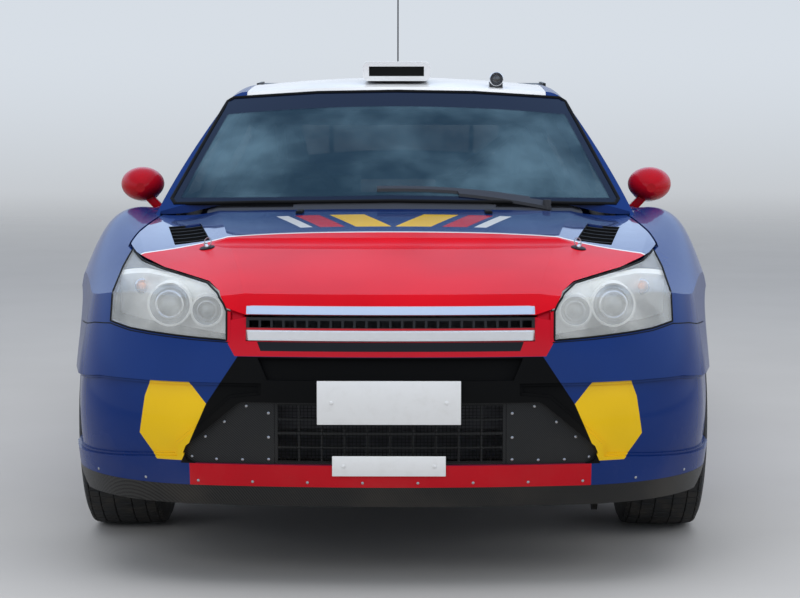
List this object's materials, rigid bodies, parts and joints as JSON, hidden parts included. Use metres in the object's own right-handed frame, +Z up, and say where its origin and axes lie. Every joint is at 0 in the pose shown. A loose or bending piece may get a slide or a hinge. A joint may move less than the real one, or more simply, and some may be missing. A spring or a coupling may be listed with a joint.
{
  "type": "rally car",
  "caption": "Three-door rally car with wide arches, a caged two-seat cabin, opening doors, bonnet and tailgate, steered front wheels and a tall rear wing.",
  "frame": {"origin": "on the ground under the middle of the car's length and width", "axes": "+Z up, +Y towards the tail, +X towards the car's left side"},
  "size_m": [1.803, 4.2751, 1.7132],
  "materials": {
    "body_paint": "gloss",
    "red_paint": "gloss",
    "roof_paint": "gloss",
    "bare_plastic": "satin",
    "carbon": "woven, clear coated",
    "bright_trim": "polished",
    "lamp_body": "metallised",
    "lens": "clear",
    "red_lens": "gloss",
    "glass": "clear",
    "tub_paint": "satin",
    "chassis_paint": "satin",
    "castings": "cast",
    "engine": "plain",
    "seat_shell": "woven shell",
    "cage_paint": "gloss",
    "wheel_paint": "gloss",
    "tyre": "rubber",
    "steel": "heat marked",
    "flap": "flat"
  },
  "bodies": {
    "shell": {"bodyside_left": "body_paint", "bodyside_right": "body_paint", "front_fender_left": "body_paint", "front_fender_right": "body_paint", "front_bumper": "body_paint", "splitter": "carbon", "grille": "bright_trim", "intake_grille": "carbon", "headlamps": "lamp_body", "headlamp_lenses": "lens", "roof_panel": "roof_paint", "cowl": "bare_plastic", "windscreen": "glass", "quarter_glass": "glass", "rear_bumper": "body_paint", "tail_lamps": "red_lens", "floor_tub": "tub_paint", "front_frame": "chassis_paint", "rear_frame": "chassis_paint", "engine_block": "engine", "dashboard": "bare_plastic", "seat_left": "seat_shell", "seat_right": "seat_shell", "roll_cage": "cage_paint", "roof_scoop": "roof_paint", "roof_camera": "bare_plastic", "antenna": "bare_plastic", "wiper": "bare_plastic", "exhaust": "steel", "mud_flaps": "flap", "tow_eyes": "red_paint"},
    "door_left": {"door_left": "body_paint", "door_glass_left": "glass", "mirror_left": "red_paint"},
    "door_right": {"door_right": "body_paint", "door_glass_right": "glass", "mirror_right": "red_paint"},
    "bonnet": {"bonnet": "body_paint"},
    "tailgate": {"tailgate": "body_paint", "tailgate_glass": "glass", "rear_wing": "carbon"},
    "knuckle_left": {"knuckle_left": "castings"},
    "knuckle_right": {"knuckle_right": "castings"},
    "steering_rack": {"steering_rack": "steel"},
    "steering_wheel": {"steering_wheel": "bare_plastic"},
    "wheel_front_left": {"wheel_front_left": "wheel_paint", "tyre_front_left": "tyre"},
    "wheel_front_right": {"wheel_front_right": "wheel_paint", "tyre_front_right": "tyre"},
    "wheel_rear_left": {"wheel_rear_left": "wheel_paint", "tyre_rear_left": "tyre"},
    "wheel_rear_right": {"wheel_rear_right": "wheel_paint", "tyre_rear_right": "tyre"}
  },
  "joints": [
    {"name": "steer_left", "type": "hinge", "parent": "shell", "child": "knuckle_left", "pos_m": [0.664, -1.211, 0.205], "axis": [-0.1625, 0, 0.9867], "range_deg": [-28, 28]},
    {"name": "steer_right", "type": "hinge", "parent": "shell", "child": "knuckle_right", "pos_m": [-0.664, -1.211, 0.205], "axis": [0.1625, 0, 0.9867], "range_deg": [-28, 28]},
    {"name": "rack_slide", "type": "slide", "parent": "shell", "child": "steering_rack", "axis": [-1, 0, 0], "range_m": [-0.06, 0.06]},
    {"name": "steering_wheel_turn", "type": "hinge", "parent": "shell", "child": "steering_wheel", "pos_m": [-0.342, -0.47, 0.86], "axis": [0, 0.9272, 0.3746], "range_deg": [-337, 337]},
    {"name": "door_left_hinge", "type": "hinge", "parent": "shell", "child": "door_left", "pos_m": [0.845, -0.697, 0.565], "axis": [0, 0, -1], "range_deg": [0, 65]},
    {"name": "door_right_hinge", "type": "hinge", "parent": "shell", "child": "door_right", "pos_m": [-0.845, -0.697, 0.565], "axis": [0, 0, 1], "range_deg": [0, 65]},
    {"name": "bonnet_hinge", "type": "hinge", "parent": "shell", "child": "bonnet", "pos_m": [0, -0.985, 0.846], "axis": [-1, 0, 0], "range_deg": [0, 45]},
    {"name": "tailgate_hinge", "type": "hinge", "parent": "shell", "child": "tailgate", "pos_m": [0, 1, 1.236], "axis": [1, 0, 0], "range_deg": [0, 60]},
    {"name": "spin_front_left", "type": "hinge", "parent": "knuckle_left", "child": "wheel_front_left", "pos_m": [0.752, -1.211, 0.325], "axis": [1, 0, 0], "continuous": true},
    {"name": "spin_front_right", "type": "hinge", "parent": "knuckle_right", "child": "wheel_front_right", "pos_m": [-0.752, -1.211, 0.325], "axis": [1, 0, 0], "continuous": true},
    {"name": "spin_rear_left", "type": "hinge", "parent": "shell", "child": "wheel_rear_left", "pos_m": [0.752, 1.397, 0.325], "axis": [1, 0, 0], "continuous": true},
    {"name": "spin_rear_right", "type": "hinge", "parent": "shell", "child": "wheel_rear_right", "pos_m": [-0.752, 1.397, 0.325], "axis": [1, 0, 0], "continuous": true}
  ],
  "couplings": [
    {"joint": "steer_right", "follows": "steer_left", "ratio": 1},
    {"joint": "rack_slide", "follows": "steer_left", "m_per_rad": 0.118},
    {"joint": "steering_wheel_turn", "follows": "steer_left", "ratio": 12}
  ]
}
